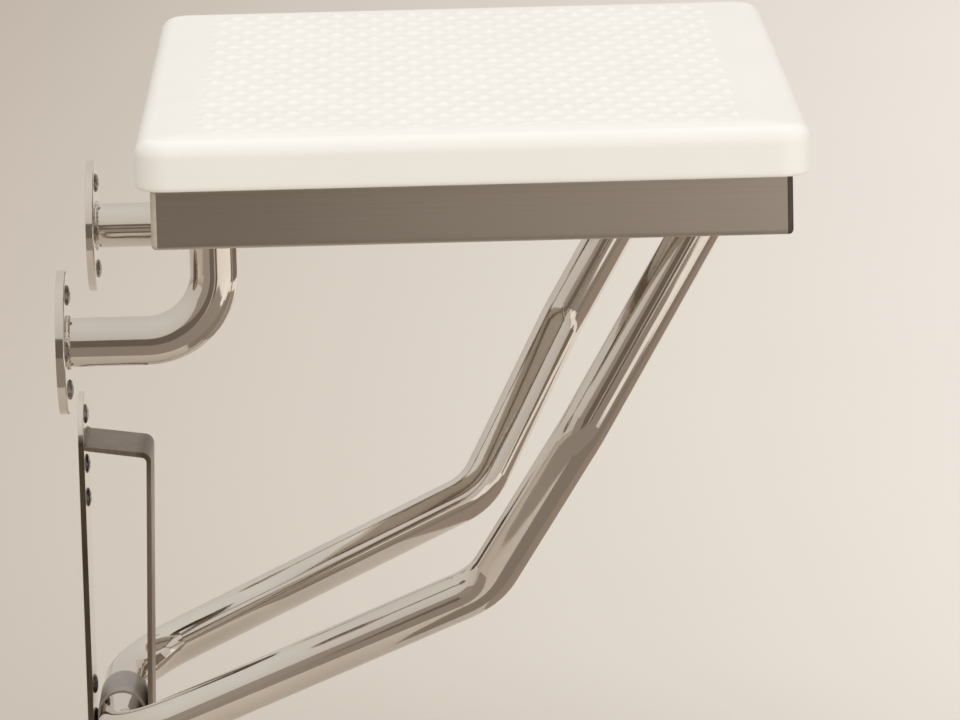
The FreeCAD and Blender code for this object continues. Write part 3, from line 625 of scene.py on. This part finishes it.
def add_screw(name, box, out, turn, body):
    """Dome head with a cross recess on a plain shank; out is the direction that the head faces."""
    low, high = box
    centre = (low + high) / 2
    axis = max(range(3), key=lambda index: abs(out[index]))
    first, second = [index for index in range(3) if index != axis]
    radius = (high[first] - low[first]) / 2
    top = high[axis] if out[axis] > 0 else low[axis]
    foot = low[axis] if out[axis] > 0 else high[axis]

    def place(away, angle, height):
        spot = centre.copy()
        spot[first] += away * math.cos(angle)
        spot[second] += away * math.sin(angle)
        spot[axis] = height
        return spot

    turns = [math.tau * step / HEAD_STEPS for step in range(HEAD_STEPS)]
    points = [place(0, 0, top - out[axis] * head_fall(0, 0, radius))]
    for ring in range(1, HEAD_RINGS + 1):
        away = radius * ring / HEAD_RINGS
        for angle in turns:
            fall = head_fall(away, angle + math.radians(turn), radius)
            points.append(place(away, angle, top - out[axis] * fall))
    for height in (top - out[axis] * HEAD_HEIGHT, foot):
        points += [place(SHANK_RADIUS, angle, height) for angle in turns]

    faces = [(0, 1 + step, 1 + (step + 1) % HEAD_STEPS) for step in range(HEAD_STEPS)]
    for inner in range(1, len(points) - HEAD_STEPS, HEAD_STEPS):
        outer = inner + HEAD_STEPS
        for step in range(HEAD_STEPS):
            following = (step + 1) % HEAD_STEPS
            faces.append((inner + step, outer + step, outer + following, inner + following))
    faces.append(tuple(reversed(range(len(points) - HEAD_STEPS, len(points)))))
    piece = add_piece(name, points, faces, SCREW_STEEL, body, SMALL_CREASE)
    face_outwards(piece.data)
    return piece


def make_screws(node, out, body):
    """Stand for a CAD node's screws, each with its cross at another angle."""
    for index, box in enumerate(loose_boxes(node)):
        turn = SCREW_TURNS[index % len(SCREW_TURNS)]
        piece = add_screw(node + "_" + str(index + 1), box, out, turn, body)
        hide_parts(node)


make_screws("flange_screws", (1, 0, 0), "wall_mount")
make_screws("guide_screws", (1, 0, 0), "wall_mount")
make_screws("pad_screws", (0, 0, -1), "seat")


# Weld beads

BEAD_SIDES = 12
BEAD_STEP = 0.6 * MM
BEAD_PITCH = 2.4 * MM
BEAD_RIPPLE = 0.1
BEAD_TIP = 0.35
BEAD_TAPER_STEPS = 3
FLANGE_BEAD = 1.5 * MM
FLANGE_BEAD_STEPS = 120
STRAP_BEAD = 1.2 * MM
STRAP_BEAD_INSET = 2 * MM
CROSS_BEAD = 1.4 * MM
CROSS_BEAD_GAP = 2 * MM
FOOT_DEPTH = 0.1 * MM


def spread(corners, closed):
    """Points about one bead step apart along straight runs."""
    ends = corners[1:] + corners[:1] if closed else corners[1:]
    points = []
    for start, end in zip(corners, ends):
        count = max(1, round((end - start).length / BEAD_STEP))
        points += [start.lerp(end, index / count) for index in range(count)]
    if not closed:
        points.append(corners[-1])
    return points


def add_bead(name, corners, closed, radius, material, body):
    """Rippled weld bead along a path, with tapered ends where it is open."""
    path = spread(corners, closed)
    count = len(path)
    points, faces = [], []
    for index, spot in enumerate(path):
        before = path[index - 1] if closed or index else spot
        after = path[(index + 1) % count] if closed or index < count - 1 else spot
        along = (after - before).normalized()
        side = along.orthogonal() if index == 0 else (side - along * side.dot(along))
        side.normalize()
        other = along.cross(side)
        from_end = min(index, count - 1 - index)
        taper = 1.0 if closed else smooth(BEAD_TIP + from_end / BEAD_TAPER_STEPS)
        ripple = BEAD_RIPPLE * math.sin(math.tau * index * BEAD_STEP / BEAD_PITCH)
        size = radius * taper * (1 + ripple)
        for step in range(BEAD_SIDES):
            angle = math.tau * step / BEAD_SIDES
            points.append(spot + size * (math.cos(angle) * side + math.sin(angle) * other))
    for index in range(count if closed else count - 1):
        low = index * BEAD_SIDES
        high = (index + 1) % count * BEAD_SIDES
        for step in range(BEAD_SIDES):
            following = (step + 1) % BEAD_SIDES
            faces.append((low + step, low + following, high + following, high + step))
    if not closed:
        last = (count - 1) * BEAD_SIDES
        faces.append(tuple(reversed(range(BEAD_SIDES))))
        faces.append(tuple(range(last, last + BEAD_SIDES)))
    add_piece(name, points, faces, material, body, SMALL_CREASE)


def make_flange_beads():
    """Bead round each bracket tube where it meets its flange."""
    for side in ("left", "right"):
        low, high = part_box("mounting_flange_" + side)
        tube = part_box("bracket_tube_" + side)
        reach = (tube[1].y - tube[0].y) / 2
        middle = (low + high) / 2
        ring = []
        for step in range(FLANGE_BEAD_STEPS):
            angle = math.tau * step / FLANGE_BEAD_STEPS
            ring.append(Vector((high.x, middle.y + reach * math.cos(angle),
                                middle.z + reach * math.sin(angle))))
        add_bead("flange_weld_" + side, ring, True, FLANGE_BEAD, POLISHED, "wall_mount")


def make_strap_beads():
    """Beads along the outer edges of the strap's two feet on the guide plate."""
    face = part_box("guide_plate")[1].x
    corners = [vertex.co for vertex in nodes["guide_strap"].data.vertices]
    feet = [spot for spot in corners if spot.x < face + FOOT_DEPTH]
    half = max(spot.y for spot in feet) - STRAP_BEAD_INSET
    heights = {"top": max(spot.z for spot in feet), "bottom": min(spot.z for spot in feet)}
    for name, height in heights.items():
        run = [Vector((face, -half, height)), Vector((face, half, height))]
        add_bead("strap_weld_" + name, run, False, STRAP_BEAD, STRAP_STEEL, "wall_mount")


def make_cross_beads():
    """Three-sided beads where the cross rails meet the side rails, open at the board."""
    for rail in ("front_cross_rail", "rear_cross_rail"):
        low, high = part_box(rail)
        top = high.z - CROSS_BEAD_GAP
        for side, y in (("right", low.y), ("left", high.y)):
            run = [Vector((low.x, y, top)), Vector((low.x, y, low.z)),
                   Vector((high.x, y, low.z)), Vector((high.x, y, top))]
            add_bead(rail + "_weld_" + side, run, False, CROSS_BEAD, CROSS_STEEL, "seat")


make_flange_beads()
make_strap_beads()
make_cross_beads()


# Floor, world, lamps, cards and camera

SEAT_HEIGHT = 460 * MM
FLOOR_REACH = 30.0
FLOOR_DARK_X = -0.25
FLOOR_PALE_X = 0.85
FLOOR_FRONT_Y = -0.5
FLOOR_LAMP_Y = -2.2
FLOOR_GRAIN = 0.2 * MM
CAMERA_PLACE = (0.1798, -3.3582, 0.8049)
CAMERA_TURN = (78.541, 1.315, -0.966)
CAMERA_LENS = 234.0
WORLD_STRENGTH = 0.83

# Each stop has a height, from 0 at the horizon to 1 overhead, and a colour.
WORLD_STOPS = (
    (0.1, srgb(226, 219, 211)),
    (0.5, srgb(236, 231, 226)),
    (1.0, srgb(246, 244, 240)),
)

# Each lamp has a name, a place, a target, a width and height, a power in watts and a colour.
LAMPS = (
    ("overhead", (0.3, 1.0, 4.2), (0.2, 0.6, 0.2), (6, 7), 79, srgb(255, 254, 252)),
    ("front", (1.6, -3.0, 1.7), (0.2, 0, 0.15), (3.8, 3.2), 37, srgb(255, 254, 251)),
)

# Each card has a name, one corner, the two sides from there and a colour.
CARD_ROW = -1.5
CARD_FOOT = -0.16
CARD_RISE = (0, 0, 0.74)
CARDS = (
    ("left_card", (-1.6, CARD_ROW, CARD_FOOT), (1.2, 0, 0), CARD_RISE, srgb(160, 150, 139)),
    ("middle_card", (-0.4, CARD_ROW, CARD_FOOT), (0.5, 0, 0), CARD_RISE, srgb(114, 104, 94)),
    ("front_card", (0.1, CARD_ROW, CARD_FOOT), (0.35, 0, 0), CARD_RISE, srgb(182, 170, 158)),
    ("frame_card", (0.22, -1.45, -0.15), (0.17, 0, 0), (0, 0, 0.7), srgb(104, 95, 86)),
    ("low_card", (-1.6, CARD_ROW, CARD_FOOT), (2.3, 0, 0), (0, 1.15, 0), srgb(154, 144, 133)),
    ("near_card", (0.2, -0.35, CARD_FOOT), (0.72, 0, 0), (0, 0.23, 0), srgb(142, 132, 121)),
    ("under_card", (0.28, -0.12, CARD_FOOT), (0.64, 0, 0), (0, 0.5, 0), srgb(158, 144, 131)),
    ("side_card", (1.3, -0.3, CARD_FOOT), (0, 1.3, 0), (0, 0, 0.8), srgb(126, 114, 101)),
    ("bright_card", (0.5, -0.53, -0.1), (0.1, 0.105, -0.064), (0.105, 0.005, 0.19),
     srgb(255, 250, 242)),
)


def add_sheet(name, corners, material):
    """Flat stage piece with four corners."""
    mesh = bpy.data.meshes.new(name)
    mesh.from_pydata(corners, [], [(0, 1, 2, 3)])
    mesh.materials.append(material)
    sheet = bpy.data.objects.new(name, mesh)
    bpy.context.scene.collection.objects.link(sheet)
    return sheet


def floor_finish():
    """Pale matt floor with painted light that makes it lighter to the right and painted shade that
    tones it down under the front lamp.
    """
    finish = Finish("floor", srgb(222, 213, 202), roughness=0.65)
    finish.shader.inputs["Specular IOR Level"].default_value = 0.0
    # Painted light: the floor lightens towards the right.
    across = finish.ramp(finish.axis("X"), FLOOR_DARK_X, FLOOR_PALE_X)
    # Painted shade: darker under the front lamp, against its pool of light.
    painted_shade_under_lamp = finish.ramp(finish.axis("Y"), FLOOR_FRONT_Y, FLOOR_LAMP_Y, 0, 0.6)
    clouds = finish.ramp(finish.noise(1.5, detail=5), 0.3, 0.7, 0, 0.08)
    tone = finish.mix(across, srgb(200, 191, 181), srgb(245, 240, 235))
    tone = finish.mix(painted_shade_under_lamp, tone, srgb(206, 197, 187))
    finish.colour(finish.mix(clouds, tone, srgb(217, 208, 198)))
    finish.bump(finish.noise(120, detail=3), FLOOR_GRAIN)
    return finish.material


def make_floor():
    """Level floor at the seat height below the pad's top."""
    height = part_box("seat_pad")[1].z - SEAT_HEIGHT
    corners = [(-FLOOR_REACH, -FLOOR_REACH, height), (FLOOR_REACH, -FLOOR_REACH, height),
               (FLOOR_REACH, FLOOR_REACH, height), (-FLOOR_REACH, FLOOR_REACH, height)]
    add_sheet("floor", corners, floor_finish())


def make_world():
    """Pale studio: bright overhead, warm grey towards the horizon."""
    world = bpy.data.worlds.new("studio")
    bpy.context.scene.world = world
    world.use_nodes = True
    tree = world.node_tree
    place = tree.nodes.new("ShaderNodeTexCoord")
    split = tree.nodes.new("ShaderNodeSeparateXYZ")
    ramp = tree.nodes.new("ShaderNodeValToRGB")
    tree.links.new(place.outputs["Generated"], split.inputs["Vector"])
    tree.links.new(split.outputs["Z"], ramp.inputs["Fac"])
    tree.links.new(ramp.outputs["Color"], tree.nodes["Background"].inputs["Color"])
    tree.nodes["Background"].inputs["Strength"].default_value = WORLD_STRENGTH
    stops = ramp.color_ramp.elements
    for height, _ in WORLD_STOPS[1:-1]:
        stops.new(height)
    for stop, (height, colour) in zip(stops, WORLD_STOPS):
        stop.position = height
        stop.color = colour


def add_lamp(name, place, target, size, power, colour):
    """Area lamp turned to its target, unseen by the camera and by reflections."""
    light = bpy.data.lights.new(name, "AREA")
    light.shape = "RECTANGLE"
    light.size, light.size_y = size
    light.energy = power
    light.color = colour[:3]
    lamp = bpy.data.objects.new(name, light)
    bpy.context.scene.collection.objects.link(lamp)
    lamp.location = place
    lamp.rotation_euler = (Vector(target) - Vector(place)).to_track_quat("-Z", "Y").to_euler()
    lamp.visible_camera = False
    lamp.visible_glossy = False


def card_glow(name, colour):
    """Even glow of a studio card."""
    material = bpy.data.materials.new(name)
    material.use_nodes = True
    tree = material.node_tree
    tree.nodes.clear()
    glow = tree.nodes.new("ShaderNodeEmission")
    glow.inputs["Color"].default_value = colour
    output = tree.nodes.new("ShaderNodeOutputMaterial")
    tree.links.new(glow.outputs["Emission"], output.inputs["Surface"])
    return material


def add_card(name, corner, first, second, colour):
    """Studio card that only reflections see."""
    corner, first, second = Vector(corner), Vector(first), Vector(second)
    corners = [corner, corner + first, corner + first + second, corner + second]
    card = add_sheet(name, corners, card_glow(name, colour))
    card.visible_camera = False
    card.visible_diffuse = False
    card.visible_shadow = False
    card.visible_transmission = False


def make_camera():
    """Long lens at the photo's viewpoint."""
    data = bpy.data.cameras.new("camera")
    data.lens = CAMERA_LENS
    camera = bpy.data.objects.new("camera", data)
    camera.location = CAMERA_PLACE
    camera.rotation_euler = [math.radians(angle) for angle in CAMERA_TURN]
    bpy.context.scene.collection.objects.link(camera)
    bpy.context.scene.camera = camera


make_floor()
make_world()
make_camera()
for lamp in LAMPS:
    add_lamp(*lamp)
for card in CARDS:
    add_card(*card)
bpy.context.scene.view_settings.view_transform = "Standard"
